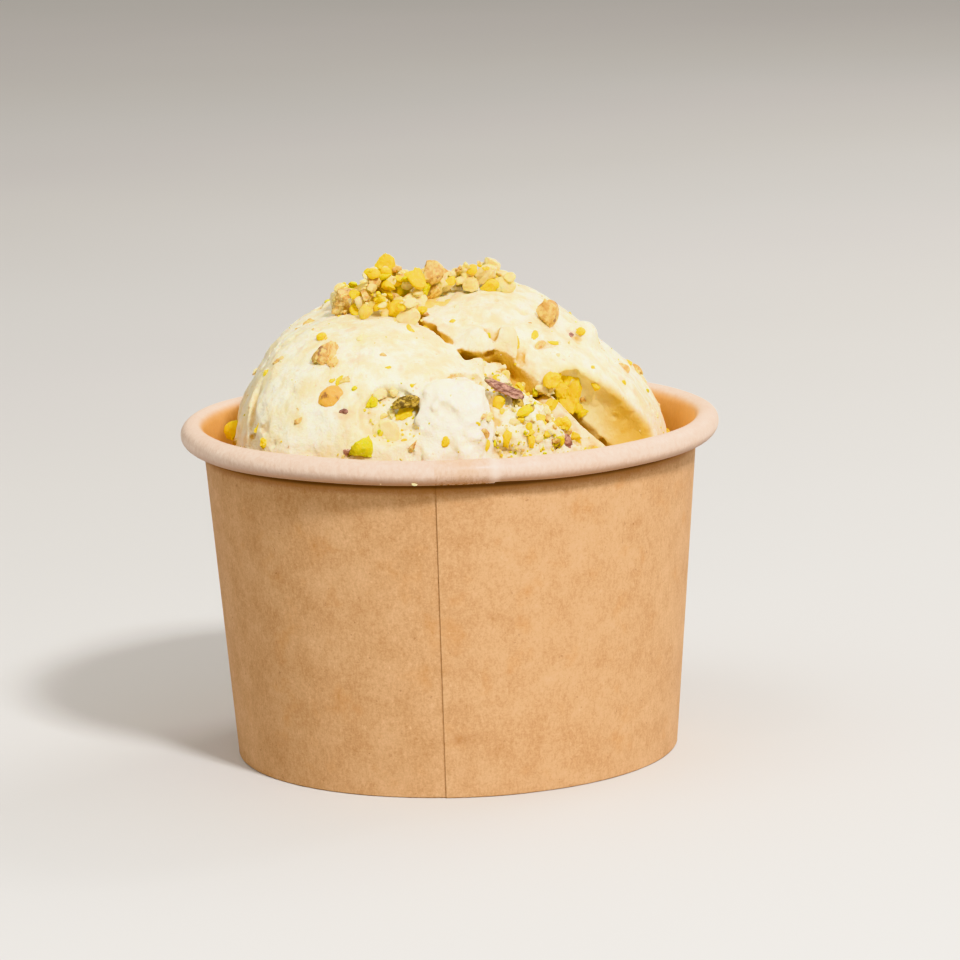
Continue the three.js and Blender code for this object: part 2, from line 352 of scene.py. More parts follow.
kraft, bench, place = new_finish("kraft_paper")
mottle = bench.grain(place, 5.5 * mm, 4.0, 0.6)
fibre = bench.grain(bench.stretched(place, (1, 1, 0.45)), 0.55 * mm, 4.0, 0.7)
cross_fibre = bench.grain(bench.stretched(place, (0.4, 0.4, 1.3)), 0.6 * mm, 3.0, 0.65)
dark_flecks = bench.grain(place, 1.1 * mm, 2.0, 0.8).smooth(0.68, 0.76)
pale_flecks = bench.grain(bench.stretched(place, (1, 1, 0.7)), 0.8 * mm, 2.0, 0.7).smooth(0.66, 0.78)
lap_edge_shade_glint = bench.attribute("lap_edge_shade_and_glint")
speckle = bench.grain(place, 0.34 * mm, 3.0, 0.8)
weave = (mottle * 0.30 + fibre * 0.30 + speckle * 0.40).smooth(0.28, 0.72)
board = bench.blend(rgb(190, 139, 90), rgb(228, 186, 141), weave)
ruddy = bench.grain(place, 6 * mm, 3.0, 0.6).smooth(0.55, 0.8)
board = bench.blend(board, rgb(204, 142, 78), ruddy * 0.45)
board = bench.blend(board, rgb(158, 102, 58), dark_flecks * 0.5)
board = bench.blend(board, rgb(240, 204, 158), pale_flecks * 0.45 + cross_fibre.smooth(0.5, 0.8) * 0.2)
# the lap's cut edge: partly the raw edge's own darker fibre, partly a painted shadow line where the outer
# sheet steps over the inner one
board = bench.blend(board, rgb(120, 78, 44), lap_edge_shade_glint * 0.75)
across = bench.along("X", place)
level = bench.along("Z", place)
stain = across.smooth(-1.5 * mm, 0.5 * mm) * (1 - across.smooth(2.5 * mm, 5 * mm))
stain = stain * level.smooth(8.6 * mm, 9.6 * mm) * (1 - level.smooth(10.2 * mm, 11.4 * mm))
board = bench.blend(board, rgb(176, 118, 66), stain * mottle.smooth(0.3, 0.7) * 0.7)
# painted shadow: the board is painted darker close up under the rolled rim, where the rim's shade falls,
# and a thin dark painted contact shadow runs right in the crook
crook = curl_centre[1] - curl_radius
board = bench.blend(board, rgb(158, 104, 58), level.smooth((crook - 2.5) * mm, (crook - 0.9) * mm) * 0.75)
board = bench.blend(board, rgb(74, 44, 22), level.smooth((crook - 1.2) * mm, (crook - 0.6) * mm) * 0.8)
relief = fibre * 0.6 + cross_fibre * 0.4
set_surface(bench, {
    "Base Color": board,
    "Roughness": 0.62 + 0.2 * fibre,
    "Specular IOR Level": 0.35,
    "Normal": bench.bump(relief, 0.07 * mm, 0.7),
})

coated_board, bench, place = new_finish("coated_paper")
height = bench.along("Z", place)
level_place = bench.stretched(place, (1, 1, 0))
from_axis = bench.node("ShaderNodeVectorMath", {"operation": "LENGTH"}, {0: level_place}, 1)
on_rim = from_axis.smooth((neck_radius - 0.3) * mm, (neck_radius + 0.7) * mm)
fibre = bench.grain(bench.stretched(place, (1, 1, 0.5)), 0.6 * mm, 4.0, 0.75).smooth(0.25, 0.75)
mottle = bench.grain(place, 4 * mm, 3.0)
lap_edge_shade_glint = bench.attribute("lap_edge_shade_and_glint")
inside = bench.blend(rgb(218, 158, 92), rgb(240, 188, 122), mottle * 0.5 + fibre * 0.5)
rim_tone = bench.blend(rgb(220, 186, 160), rgb(250, 232, 216), mottle * 0.4 + fibre * 0.6)
# painted shade: the rolled rim's lower half is painted darker and browner, standing in for the shade on its
# downward-facing side
rim_underside_shade = 1 - height.smooth((cup_height - 4.0) * mm, (cup_height - 1.5) * mm)
lap = bench.attribute("lap")
# the lapped stretch of rim is painted browner in patches: partly the brown streaks on the doubled board,
# partly painted shade
rim_tone = bench.blend(rim_tone, rgb(214, 176, 142), lap * (0.25 + 0.4 * mottle.smooth(0.4, 0.6)))
rim_tone = bench.blend(rim_tone, rgb(172, 120, 78), rim_underside_shade * 0.85)
tone = bench.blend(inside, rim_tone, on_rim)
# painted highlight: a pale line where the rim's lap edge catches the light, fainter on the rim's shaded
# underside
tone = bench.blend(tone, rgb(252, 238, 224), lap_edge_shade_glint * 0.6 * (1 - 0.5 * rim_underside_shade))
set_surface(bench, {
    "Base Color": tone,
    "Roughness": 0.38 + 0.2 * fibre - 0.2 * lap,
    "Specular IOR Level": 0.5,
    "Normal": bench.bump(fibre, 0.04 * mm, 0.5),
})

wall = new_object("cup_wall_paper", wall_mesh, kraft, coated_board)
shade_round(wall_mesh, 40)
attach(wall, "root")
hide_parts("cup_wall")


# Cup base. A disc of the same board, its rim drawn down into a skirt that the wall's folded
# edge grips, so that the cup stands on the fold and the disc hangs clear of the table.

base_underside = 6.0
skirt_out = wall_inside(0) - fold_gap
skirt_top = skirt_out + wall_slope * base_underside
skirt_foot = 0.75
disc_middle = 0.02
fold_round = 0.3
base_profile = [
    (disc_middle, base_underside, 0), (skirt_top - paper - fold_round, base_underside, 0),
    (skirt_top - paper, base_underside - fold_round, 0), (skirt_out - paper, skirt_foot, 0),
    (skirt_out, skirt_foot, 1), (skirt_top, base_underside, 1),
    (skirt_top - paper, base_underside + paper, 1), (disc_middle, base_underside + paper, 1),
]
base_angles = np.radians(np.arange(0, 360, 2.5))
base_rows = np.array([
    [(radius * math.cos(a), radius * math.sin(a), z) for radius, z, _ in base_profile] for a in base_angles
])
base_sides = np.array([coated for _, _, coated in base_profile])
base_mesh = ring_mesh("cup_base_paper", base_rows * mm, base_sides)
base = new_object("cup_base_paper", base_mesh, kraft, coated_board)
shade_round(base_mesh, 40)
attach(base, "root")
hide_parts("cup_base")


# Gelato. One mass of pistachio cream that fills the cup and stands over its rim: two smeared
# lobes with a crease between them, a spoon's hollow in the right one, a slab standing up at the
# front and a torn, crumbled lump beside it. It is a field, negative inside, with a skin on it.

grid_step = 0.34
band_low = np.array([-41.0, -41.0, 43.5])
band_high = np.array([41.0, 41.0, 81.0])
chance = np.random.default_rng(7)


def soft_join(a, b, blend):
    """The part inside either, with the corner between them filled."""
    share = np.clip(0.5 + 0.5 * (b - a) / blend, 0, 1)
    return b + (a - b) * share - blend * share * (1 - share)


def soft_cut(a, b, blend):
    """The part inside both, with the edge between them rounded."""
    return -soft_join(-a, -b, blend)


def lobe(x, y, z, centre, radii, fullness, lean=0.0):
    """A rounded lump: a ball stretched to three radii, fuller than an ellipsoid above 2."""
    x, y, z = x - centre[0], y - centre[1], z - centre[2]
    turn = math.radians(-lean)
    y, z = y * math.cos(turn) - z * math.sin(turn), y * math.sin(turn) + z * math.cos(turn)
    scaled = [np.abs(v) / r for v, r in zip((x, y, z), radii)]
    level = sum(v ** fullness for v in scaled) ** (1 / fullness)
    steep = np.sqrt(sum((v ** (fullness - 1) / r) ** 2 for v, r in zip(scaled, radii)))
    return (level - 1) / np.maximum(steep / np.maximum(level, 1e-6) ** (fullness - 1), 1e-4)


def flat(x, y, z, through, facing):
    """Height over a plane that passes through a point and faces a direction."""
    length = math.sqrt(sum(v * v for v in facing))
    return sum((p - t) * f for p, t, f in zip((x, y, z), through, facing)) / length


def stroke(x, y, z, start, end, start_radius, end_radius):
    """A round bar from start to end, which a spoon's edge or tip cuts or leaves."""
    along = np.array(end) - np.array(start)
    x, y, z = x - start[0], y - start[1], z - start[2]
    share = np.clip((x * along[0] + y * along[1] + z * along[2]) / (along @ along), 0, 1)
    away = np.sqrt(sum((value - share * part) ** 2 for value, part in zip((x, y, z), along)))
    return away - start_radius - (end_radius - start_radius) * share


def corner_value(ix, iy, iz, seed):
    mixed = ix * np.uint32(374761393) + iy * np.uint32(668265263) + iz * np.uint32(1103515245)
    mixed = mixed + np.uint32(seed * 7919)
    mixed = (mixed ^ (mixed >> np.uint32(13))) * np.uint32(1274126177)
    return (mixed ^ (mixed >> np.uint32(16))).astype(np.float32) / np.float32(2 ** 31) - 1


def ripple(x, y, z, size, seed):
    """Smooth noise from -1 to 1 with patches of this size, the same on every run."""
    cells = []
    for value in (x, y, z):
        scaled = value / size + 512.0
        whole = np.floor(scaled)
        part = (scaled - whole).astype(np.float32)
        cells.append((whole.astype(np.uint32), part * part * (3 - 2 * part)))
    (ix, u), (iy, v), (iz, w) = cells
    one = np.uint32(1)
    layers = []
    for dz in (0, 1):
        near = corner_value(ix, iy, iz + one * dz, seed)
        near = near + u * (corner_value(ix + one, iy, iz + one * dz, seed) - near)
        far = corner_value(ix, iy + one, iz + one * dz, seed)
        far = far + u * (corner_value(ix + one, iy + one, iz + one * dz, seed) - far)
        layers.append(near + v * (far - near))
    return layers[0] + w * (layers[1] - layers[0])


torn_depth = 2.3
hollow_stroke = ((20.0, -15.0, 61.6), (30.5, -13.5, 52.5), 4.3, 6.2)
# the crumbled lump's sloping top: a point on it, a point where the torn gelato ends, its facing
slope_point = (13.9, -24, 65.3)
torn_limit = (13.9, -24, 66.3)
slope_facing = (0.69, 0.09, 0.71)
# small lumps on the right lobe: middle, three radii, fullness and how softly they join it
knobs = [
    ((22.6, -3, 69.2), (2.4, 3.0, 2.6), 2.2, 1.2),
    ((9.7, -14.2, 69.8), (1.9, 2.2, 3.4), 2.6, 0.5),
    ((15.4, -10.6, 68.2), (2.6, 1.9, 1.4), 2.2, 1.0),
]
# gaps between crumbs and folds: start, end and width
gaps = [
    ((-11.6, -33.0, 66.4), (-12.9, -34.0, 64.2), 0.8),
    ((-3.9, -34.5, 64.2), (-6.6, -35.5, 60.6), 0.7),
    ((-5.9, -36.5, 61.0), (-6.1, -37.0, 55.5), 0.7),
    ((6.6, -33.5, 64.0), (7.0, -35.8, 55.0), 1.0),
    ((7.4, -13.8, 73.0), (6.4, -17.0, 68.0), 1.5),
    ((12.6, -14.4, 71.6), (11.8, -16.6, 67.4), 1.0),
    ((15.0, -13.4, 69.8), (19.6, -10.2, 69.8), 0.9),
    ((-33.0, -22.0, 56.0), (-31.0, -15.7, 67.8), 2.2),
]


def fill_height(x, y):
    angle = np.arctan2(y, x)
    return 46.2 + 0.7 * (np.sin(2 * angle + 1) + 0.5 * np.sin(5 * angle))


def torn_zone(x, y, z):
    """1 on the broken front right of the mound, 0.7 in the torn patches beside and over the spur."""
    over_slope = flat(x, y, z, torn_limit, slope_facing)
    right_part = soft_step(x, 4.5, 6.5) * (1 - soft_step(over_slope, -0.5, 1.0))
    right_part = right_part * (1 - soft_step(y, -21, -16.5))
    edge = 0.18 * ripple(x, y, z, 2.6, 9)
    patch_far = np.sqrt(((x + 9.0) / 5.6) ** 2 + ((y + 32) / 7.0) ** 2 + ((z - 62.0) / 4.6) ** 2) + edge
    above_far = np.sqrt(((x - 4.0) / 5.0) ** 2 + ((y + 30) / 7.0) ** 2 + ((z - 65.6) / 2.8) ** 2) + edge
    return np.maximum(right_part, 0.7 - 0.7 * soft_step(np.minimum(patch_far, above_far), 0.8, 1.1))


def lobes(x, y, z):
    """The smeared front lobe, joined to the crumbled lump at its right, and the lobe behind."""
    front = lobe(x, y, z, (-8.8, -4, 50), (26.8, 32, 25.5), 2.35)
    front = soft_cut(front, flat(x, y, z, (2, -12, 70.8), (0.56, -0.12, 0.8)), 7)
    back = lobe(x, y, z, (4, 6, 49), (33, 29.5, 28.8), 2.1)
    back = soft_cut(back, flat(x, y, z, (24.9, -2, 69.3), (0.7, 0.02, 0.714)), 7)
    back = soft_join(back, stroke(x, y, z, (5.5, -13.5, 69.0), (15.5, -13.0, 64.5), 3.8, 3.2), 2)
    back = soft_cut(back, -stroke(x, y, z, *hollow_stroke), 1.2)
    crumbled = lobe(x, y, z, (12, -16, 49.5), (18, 18.5, 20.5), 2.2)
    crumbled = soft_cut(crumbled, flat(x, y, z, slope_point, slope_facing), 2)
    return soft_join(front, crumbled, 2), back


def spur(x, y, z):
    """The slab of clean gelato that stands up at the front."""
    slab = lobe(x, y, z, (0.7, -32.4, 53.5), (6.2, 5.0, 14.2), 2.7, -10)
    return slab + 1.0 * ripple(x, y, z, 3.1, 11) + 0.45 * ripple(x, y, z, 1.2, 12)


def mound(x, y, z):
    """The mound's big shapes, with the surface of the fill round its foot."""
    front, back = lobes(x, y, z)
    healing = soft_step(y, -8, 12)
    torn = torn_zone(x, y, z)
    joined = soft_join(front, back, 0.4 + 12 * healing)
    crease_depth = 2.6 * (1 - healing) + torn_depth * torn
    crease = np.maximum(np.abs(front - back) * 0.6 - 0.42, -(joined + crease_depth))
    joined = np.maximum(joined, -crease)
    for centre, radii, fullness, blend in knobs:
        joined = soft_join(joined, lobe(x, y, z, centre, radii, fullness), blend)
    joined += torn_depth * torn
    joined = soft_join(joined, spur(x, y, z), 0.2)
    for start, end, width in gaps:
        joined = soft_cut(joined, -stroke(x, y, z, start, end, width, width * 0.6), 0.3)
    radius = np.hypot(x, y)
    fill = np.maximum(z - fill_height(x, y), radius - wall_inside(z) + fold_gap)
    return soft_join(joined, fill, 2.5)


def crumb_cells(x, y, z, size, seed):
    """How far each point is from the nearest of a jittered set of crumb middles, in crumb sizes."""
    cells = [np.floor(value / size + 512.0) for value in (x, y, z)]
    parts = [value / size + 512.0 - cell for value, cell in zip((x, y, z), cells)]
    parts = [part.astype(np.float32) for part in parts]
    nearest = np.full(np.shape(x), 9.0, dtype=np.float32)
    for step in np.ndindex(3, 3, 3):
        steps = [s - 1 for s in step]
        corner = [(cell + s).astype(np.uint32) for cell, s in zip(cells, steps)]
        away = 0.0
        for axis in range(3):
            middle = steps[axis] + 0.5 + 0.45 * corner_value(*corner, seed + axis)
            away = away + (parts[axis] - middle) ** 2
        nearest = np.minimum(nearest, away)
    return np.sqrt(nearest)


def texture(x, y, z, torn):
    """The surface's own relief: smeared ripples where it is smooth, crumbs where it is torn."""
    radius = np.maximum(np.hypot(x, y), 6.0) / 30
    smear = 0.40 * ripple(x / radius, y / radius, z * 0.22, 4.6, 1) + 0.35 * ripple(x, y, z, 7.0, 6)
    smear += 0.17 * ripple(x, y, z, 1.7, 2) + 0.08 * ripple(x, y, z, 0.8, 8)
    turn = np.arctan2(x, -y) * 7 / (2 * math.pi) + 0.012 * z + 0.35 * ripple(x, y, z, 9.0, 13)
    part = turn - np.floor(turn)
    paddled = np.minimum(part / 0.86, (1 - part) / 0.14) - 0.5
    clear_front = soft_step(x, 2, 8) * (1 - soft_step(y, -8, 8))
    smear -= 0.75 * paddled * (1 - soft_step(z, 66, 74)) * (1 - clear_front)
    pits = 0.5 * soft_step(ripple(x, y, z, 2.1, 7), 0.52, 0.85)
    lumps = 0.6 * ripple(x, y, z, 4.5, 5)
    if torn.max() > 0:
        here = torn > 0
        place = x[here], y[here], z[here]
        coarse = 1.9 * (crumb_cells(*place, 2.5, 41) - 0.5)
        lumps[here] -= coarse + 0.9 * (crumb_cells(*place, 1.15, 51) - 0.5)
    return (smear + pits) * (1 - torn) - lumps * torn


axes = [np.arange(low, high, grid_step, dtype=np.float32) for low, high in zip(band_low, band_high)]
grid_x, grid_y, grid_z = np.meshgrid(*axes, indexing="ij", sparse=True)
field = mound(grid_x, grid_y, grid_z).astype(np.float32)
relief_reach = 2.0
near = np.abs(field) < relief_reach
near_x, near_y, near_z = (np.broadcast_to(g, field.shape)[near] for g in (grid_x, grid_y, grid_z))
torn = torn_zone(near_x, near_y, near_z) * soft_step(spur(near_x, near_y, near_z), 0.1, 0.8)
field[near] += texture(near_x, near_y, near_z, torn)
wall_room = 0.12
wall_limit = np.hypot(grid_x, grid_y) - wall_inside(grid_z) + wall_room
field = np.maximum(field, wall_limit).astype(np.float32)


def skin(field):
    """Vertices, in grid units, and quads round a field's inside, open at the lowest layer."""
    inside = field < 0
    deep, wide, tall = (length - 1 for length in inside.shape)
    filled = sum(
        inside[i:i + deep, j:j + wide, k:k + tall].astype(np.int8) for i, j, k in np.ndindex(2, 2, 2)
    )
    active = (filled > 0) & (filled < 8)
    cells = np.argwhere(active)
    number = np.full(active.shape, -1, dtype=np.int64)
    number[active] = np.arange(len(cells))
    total = np.zeros((len(cells), 3))
    count = np.zeros(len(cells))
    for axis in range(3):
        others = [a for a in range(3) if a != axis]
        for shift in np.ndindex(2, 2):
            start = cells.copy()
            start[:, others] += shift
            end = start.copy()
            end[:, axis] += 1
            a, b = field[tuple(start.T)], field[tuple(end.T)]
            crossed = (a < 0) != (b < 0)
            point = start.astype(float)
            point[:, axis] += np.where(crossed, a / np.where(a == b, 1, a - b), 0)
            total[crossed] += point[crossed]
            count[crossed] += 1
    points = total / count[:, None]
    quads = []
    for axis in range(3):
        others = [(axis + 1) % 3, (axis + 2) % 3]
        low = np.take(inside, range(inside.shape[axis] - 1), axis)
        high = np.take(inside, range(1, inside.shape[axis]), axis)
        edges = np.argwhere(low != high)
        beside = edges[:, others]
        furthest = np.array(inside.shape)[others] - 1
        edges = edges[((beside > 0) & (beside < furthest)).all(axis=1)]
        corners = []
        for shift in ((1, 1), (0, 1), (0, 0), (1, 0)):
            cell = edges.copy()
            cell[:, others] -= shift
            corners.append(number[tuple(cell.T)])
        quad = np.stack(corners, axis=-1)
        outward = inside[tuple(edges.T)]
        quads.append(np.where(outward[:, None], quad, quad[:, ::-1]))
    return points, np.concatenate(quads)


def largest_part(points, quads):
    """Only the largest connected part of a skin, so that no crumb or bubble is left loose."""
    label = np.arange(len(points))
    while True:
        lowest = label[quads].min(axis=1)
        joined = label.copy()
        np.minimum.at(joined, quads.ravel(), np.repeat(lowest, 4))
        joined = joined[joined]
        if (joined == label).all():
            break
        label = joined
    names, sizes = np.unique(label[quads[:, 0]], return_counts=True)
    quads = quads[label[quads[:, 0]] == names[sizes.argmax()]]
    used, quads = np.unique(quads, return_inverse=True)
    return points[used], quads.reshape(-1, 4)


def open_edges(quads, count):
    """The directed edges that have a face on one side only."""
    ahead = np.concatenate([quads[:, [i, (i + 1) % 4]] for i in range(4)])
    forward, forward_count = np.unique(ahead[:, 0] * count + ahead[:, 1], return_counts=True)
    backward, backward_count = np.unique(ahead[:, 1] * count + ahead[:, 0], return_counts=True)
    matched = np.isin(forward, backward)
    spare = forward_count.copy()
    spare[matched] -= backward_count[np.searchsorted(backward, forward[matched])]
    keys = np.repeat(forward, np.maximum(spare, 0))
    return np.stack([keys // count, keys % count], axis=-1)


# the skin's lower edge is carried down to the cup's base and closed there round one middle point
points, quads = largest_part(*skin(field))
points = points * grid_step + band_low
floor_level = base_underside + paper + fold_gap
edges = open_edges(quads, len(points))
edge_points, lower = np.unique(edges, return_inverse=True)
lower = lower.reshape(-1, 2) + len(points)
shrink = (wall_inside(floor_level) - fold_gap) / np.hypot(points[edge_points, 0], points[edge_points, 1])
foot = points[edge_points]
foot[:, :2] *= shrink[:, None]
foot[:, 2] = floor_level
middle = len(points) + len(foot)
sides = np.column_stack([edges[:, 1], edges[:, 0], lower[:, 0], lower[:, 1]])
fan = np.column_stack([lower[:, 1], lower[:, 0], np.full(len(lower), middle)])
points = np.concatenate([points, foot, [[0, 0, floor_level]]])
gelato_mesh = bpy.data.meshes.new("gelato_mound")
gelato_mesh.from_pydata(points.tolist(), [], [*quads.tolist(), *sides.tolist(), *fan.tolist()])

gelato = new_object("gelato_mound", gelato_mesh)
thinning = gelato.modifiers.new("thinning", "DECIMATE")
triangle_target = 190000
triangles = sum(len(face.vertices) - 2 for face in gelato_mesh.polygons)
thinning.ratio = min(1.0, triangle_target / triangles)
thinned = bpy.data.meshes.new_from_object(gelato.evaluated_get(bpy.context.evaluated_depsgraph_get()))
gelato.modifiers.remove(thinning)
gelato.data = thinned
gelato_mesh = thinned


def grid_value(grid, points):
    """The grid's value at points given in millimetres, from the nearest grid point."""
    index = np.rint((points - band_low) / grid_step).astype(int)
    index = np.clip(index, 0, np.array(grid.shape) - 1)
    return grid[tuple(index.T)]


def mesh_points(mesh):
    points = np.empty(len(mesh.vertices) * 3)
    mesh.vertices.foreach_get("co", points)
    return points.reshape(-1, 3)


places = mesh_points(gelato_mesh)
normals = np.array([vertex.normal[:] for vertex in gelato_mesh.vertices])
# how open the air is a little way off the surface: low in a gap, 1 on a bump; the recess mask made from it
# sets where shade is painted into the gelato
open_air = [grid_value(field, places + away * normals) / away for away in (1.4, 3.0)]
sunken = np.clip(1 - np.minimum(*open_air), 0, 1)
clean = (1 - soft_step(spur(*places.T), 0.2, 0.9)) * (places[:, 1] < -24)
torn_here = torn_zone(*places.T) * (1 - clean)
# painted shade in the spoon's hollow under the right lobe's ridge, only where the back lobe forms the
# surface
shaded = 1 - soft_step(stroke(*places.T, *hollow_stroke), -0.2, 1.6)
front, back = lobes(*places.T)
shaded *= soft_step(front - back, -0.4, 0.6)
# painted shade along the crease between the two lobes, where it is recessed
creased = (1 - soft_step(np.abs(front - back), 0.5, 2.2)) * (1 - soft_step(places[:, 1], -10, 4))
creased *= soft_step(sunken, 0.25, 0.75)
marks = {"sunken": sunken, "torn": torn_here, "hollowed": shaded, "creased": creased, "clean": clean}
for name, values in marks.items():
    values = values.astype(np.float32)
    gelato_mesh.attributes.new(name, "FLOAT", "POINT").data.foreach_set("value", values)
gelato_mesh.transform(Matrix.Scale(mm, 4))

cream, bench, place = new_finish("pistachio_gelato")
sunken, torn, hollowed, creased, clean = (bench.attribute(name) for name in marks)
swirl = bench.grain(place, 7 * mm, 3.0, 0.5)
fine = bench.grain(place, 0.7 * mm, 4.0, 0.7)
meal = bench.grain(place, 1.6 * mm, 3.0, 0.75).smooth(0.6, 0.74)
oily = bench.grain(place, 3.2 * mm, 4.0, 0.65)
smeared = bench.grain(bench.stretched(place, (1, 1, 0.22)), 2.4 * mm, 3.0, 0.6)
cloudy = (swirl * 0.35 + oily * 0.3 + smeared * 0.35).smooth(0.38, 0.58)
milk = bench.blend(rgb(252, 234, 186), rgb(255, 249, 226), cloudy)
spotted = bench.grain(place, 0.9 * mm, 3.0, 0.7).smooth(0.56, 0.76)
milk = bench.blend(milk, rgb(244, 218, 140), spotted * 0.35)
milk = bench.blend(milk, rgb(240, 208, 128), meal * (0.40 + 0.45 * torn))
# painted shade: gaps and recesses are painted a deeper yellow, where shade falls in them
gap_shade = sunken.smooth(0.32, 0.95) * (0.85 - 0.25 * torn) * (1 - 0.7 * hollowed)
milk = bench.blend(milk, rgb(226, 182, 72), gap_shade)
# the painted shade in the hollow is pale at its left and darker, deeper yellow toward its right
shade_to_right = bench.along("X", place).smooth(22 * mm, 29 * mm)
hollow_shade_tone = bench.blend(rgb(250, 236, 176), rgb(222, 184, 56), shade_to_right)
milk = bench.blend(milk, hollow_shade_tone, hollowed * 0.85)
# painted shade: a golden-brown line down the crease between the lobes
milk = bench.blend(milk, rgb(206, 160, 58), creased * 0.65)
smudges = bench.grain(place, 4.6 * mm, 2.0, 0.5).smooth(0.62, 0.72)
milk = bench.blend(milk, rgb(238, 198, 142), smudges * 0.4)
skin_bits = bench.grain(place, 1.9 * mm, 3.0, 0.8).smooth(0.66, 0.74)
milk = bench.blend(milk, rgb(226, 172, 116), skin_bits * 0.6)
milk = bench.blend(milk, rgb(255, 250, 234), clean * 0.85)
dents = bench.grain(place, 1.5 * mm, 3.0, 0.6)
set_surface(bench, {
    "Base Color": milk,
    "Roughness": 0.34 + 0.22 * fine,
    "Specular IOR Level": 0.4,
    "Subsurface Weight": 0.32,
    "Subsurface Radius": (1.0, 0.78, 0.4),
    "Subsurface Scale": 1.5 * mm,
    "Normal": bench.bump(dents * 2.0 + fine + bench.grain(place, 0.3 * mm, 2.0) * 0.4, 0.22 * mm, 0.8),
})
gelato_mesh.materials.clear()
gelato_mesh.materials.append(cream)
gelato_mesh.polygons.foreach_set("use_smooth", [True] * len(gelato_mesh.polygons))
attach(gelato, "root")
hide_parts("gelato")


# Larger pistachio pieces. Shelled nuts knocked apart with a knife: each keeps some of its
# rounded, papery skin and shows broken faces where it split. The ones that stand clear of the
# heap or lie in the gelato are made one by one.

def nut_ball(subdivisions):
    """A unit ball's points and triangles."""
    work = bmesh.new()
    bmesh.ops.create_icosphere(work, subdivisions=subdivisions, radius=1)
    work.verts.ensure_lookup_table()
    ball = np.array([vertex.co[:] for vertex in work.verts])
    triangles = np.array([[vertex.index for vertex in face.verts] for face in work.faces])
    work.free()
    return ball, triangles


fine_ball = nut_ball(5)
plain_ball = nut_ball(4)
small_ball = nut_ball(3)
meal_ball = nut_ball(2)


def any_direction():
    facing = chance.normal(size=3)
    return facing / np.linalg.norm(facing)


def broken_nut(ball, radii, cuts, roughness):
    """Points of a nut split by a few cuts, and how much of its skin each point keeps."""
    points = ball.copy()
    kept = np.ones(len(points))
    for _ in range(cuts):
        facing = any_direction()
        over = points @ facing - chance.uniform(0.25, 0.75)
        points -= np.outer(np.maximum(over, 0) * 0.9, facing)
        kept[over > 0] = 0
    start = chance.uniform(-90, 90, 3)
    where = points * 3.0 + start
    bumps = ripple(*where.T, 1.0, 21) + 0.5 * ripple(*(where * 2.1).T, 1.0, 22)
    bumps += 0.35 * ripple(*(where * 4.6).T, 1.0, 23)
    points *= (1 + roughness * bumps * (1.25 - 0.9 * kept))[:, None]
    return points * radii, kept


class Batch:
    """Nut pieces joined into one mesh. Each point carries its piece's tone and its skin."""

    def __init__(self):
        self.points, self.triangles, self.tones, self.skins = [], [], [], []
        self.count = 0

    def add(self, points, triangles, tone, skin):
        self.points.append(points)
        self.triangles.append(triangles + self.count)
        self.tones.append(np.full(len(points), tone))
        self.skins.append(skin)
        self.count += len(points)

    def build(self, name, finish):
        mesh = bpy.data.meshes.new(name)
        points = np.concatenate(self.points) * mm
        mesh.from_pydata(points.tolist(), [], np.concatenate(self.triangles).tolist())
        for attribute, values in (("tone", self.tones), ("skin", self.skins)):
            values = np.concatenate(values).astype(np.float32)
            mesh.attributes.new(attribute, "FLOAT", "POINT").data.foreach_set("value", values)
        made = new_object(name, mesh, finish)
        shade_round(mesh, 38)
        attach(made, "root")
        return made


def turned(points, direction):
    """Points turned so that their own Z lies along a direction, and spun at random round it."""
    spin = Matrix.Rotation(chance.uniform(0, 2 * math.pi), 3, "Z")
    stand = Vector(direction).to_track_quat("Z", "Y").to_matrix()
    return points @ np.array(stand @ spin).T


nut_flesh, bench, place = new_finish("pistachio")
tone = bench.attribute("tone")
skin_kept = bench.attribute("skin")
patchy = bench.grain(place, 1.4 * mm, 3.0, 0.6)
grit = bench.grain(place, 0.35 * mm, 3.0, 0.7)
mixed = tone + (patchy - 0.5) * 0.22
flesh = bench.blend(rgb(253, 234, 178), rgb(247, 212, 46), mixed.smooth(0.14, 0.44))
flesh = bench.blend(flesh, rgb(204, 196, 40), mixed.smooth(0.52, 0.64))
toasted = bench.grain(place, 1.1 * mm, 3.0, 0.7).smooth(0.40, 0.58)
toasted = bench.blend(rgb(212, 164, 94), rgb(244, 216, 140), toasted)
flesh = bench.blend(flesh, toasted, mixed.smooth(0.70, 0.80))
flesh = bench.blend(flesh, rgb(250, 192, 84), tone.smooth(0.99, 1.0))
flesh = bench.blend(flesh, rgb(250, 232, 176), grit.smooth(0.5, 0.8) * 0.45)
skin_left = (skin_kept * patchy).smooth(0.50, 0.66) * tone.smooth(0.5, 0.9)
flesh = bench.blend(flesh, rgb(150, 92, 70), skin_left * 0.8)
set_surface(bench, {
    "Base Color": flesh,
    "Roughness": 0.45 + 0.25 * grit,
    "Specular IOR Level": 0.4,
    "Subsurface Weight": 0.4,
    "Subsurface Radius": (1.0, 0.65, 0.2),
    "Subsurface Scale": 1.0 * mm,
    "Normal": bench.bump(grit + patchy * 0.5, 0.15 * mm, 0.7),
})

skin_flesh, bench, place = new_finish("pistachio_skin")
veins = bench.grain(bench.stretched(place, (1, 1, 2.2)), 1.1 * mm, 4.0, 0.7)
skin_tone = bench.blend(rgb(126, 80, 68), rgb(204, 158, 136), veins.smooth(0.35, 0.65))
skin_tone = bench.blend(skin_tone, rgb(150, 150, 60), bench.grain(place, 2.2 * mm).smooth(0.56, 0.66) * 0.7)
pores = bench.grain(place, 0.7 * mm, 3.0, 0.7).smooth(0.40, 0.62)
porous = bench.blend(rgb(104, 80, 28), rgb(200, 166, 74), pores)
tone = bench.attribute("tone")
skin_tone = bench.blend(porous, skin_tone, tone.smooth(0.4, 0.6))
set_surface(bench, {
    "Base Color": skin_tone,
    "Roughness": 0.5 + 0.2 * veins,
    "Specular IOR Level": 0.45,
    "Normal": bench.bump(veins, 0.2 * mm, 0.8),
})

